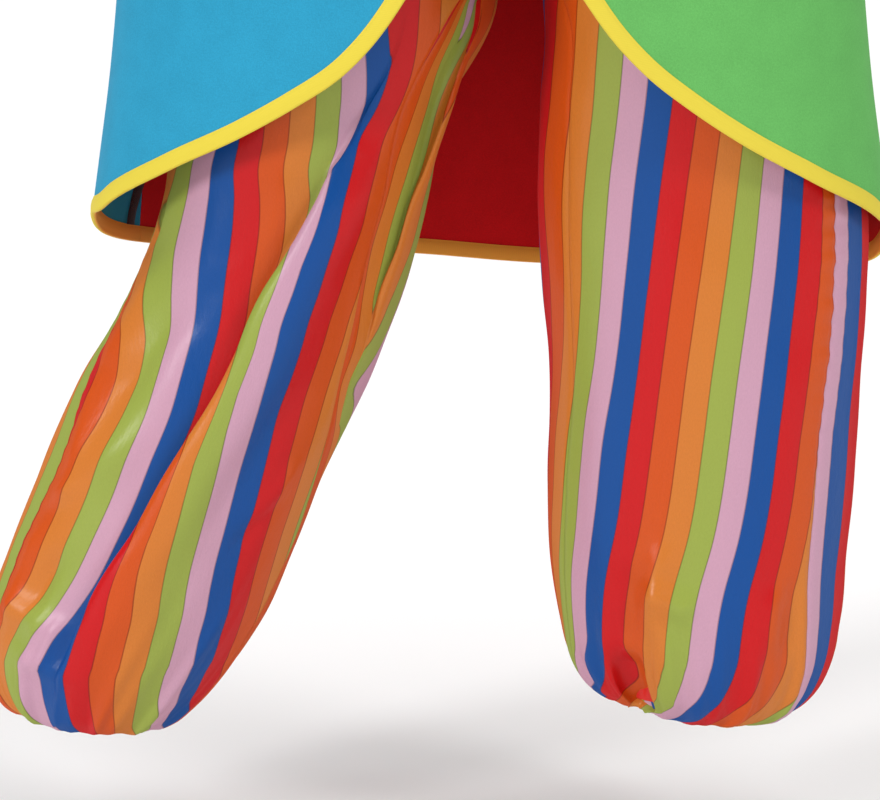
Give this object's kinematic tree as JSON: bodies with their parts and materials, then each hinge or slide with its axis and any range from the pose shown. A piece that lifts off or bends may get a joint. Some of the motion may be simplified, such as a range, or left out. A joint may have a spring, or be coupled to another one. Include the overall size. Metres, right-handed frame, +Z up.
{
  "type": "clown costume",
  "caption": "Worn clown costume: a long cutaway coat in three colours of felt with yellow bound edges over baggy striped satin trousers gathered at the ankles.",
  "frame": {"origin": "between the wearer's shoulders, 1.43 m above the floor that the wearer stands on", "axes": "+Z up, -Y the way the wearer faces, +X to the wearer's left"},
  "size_m": [1.272, 0.3423, 1.3979],
  "materials": {
    "blue_felt": "matte non-woven felt",
    "green_felt": "matte non-woven felt",
    "red_felt": "matte non-woven felt",
    "yellow_tape": "folded binding tape",
    "striped_satin": "glossy satin in printed stripes",
    "casing_satin": "glossy satin over elastic"
  },
  "bodies": {
    "root": {"coat_back": "red_felt", "coat_front_right": "blue_felt", "coat_front_left": "green_felt", "sleeve_right": "blue_felt", "sleeve_left": "green_felt", "binding_hem_back": "yellow_tape", "binding_front_right": "yellow_tape", "binding_front_left": "yellow_tape", "trouser_front_right": "striped_satin", "trouser_front_left": "striped_satin", "trouser_back_right": "striped_satin", "trouser_back_left": "striped_satin", "waist_casing": "casing_satin", "ankle_casing_right": "casing_satin", "ankle_casing_left": "casing_satin"}
  },
  "joints": []
}
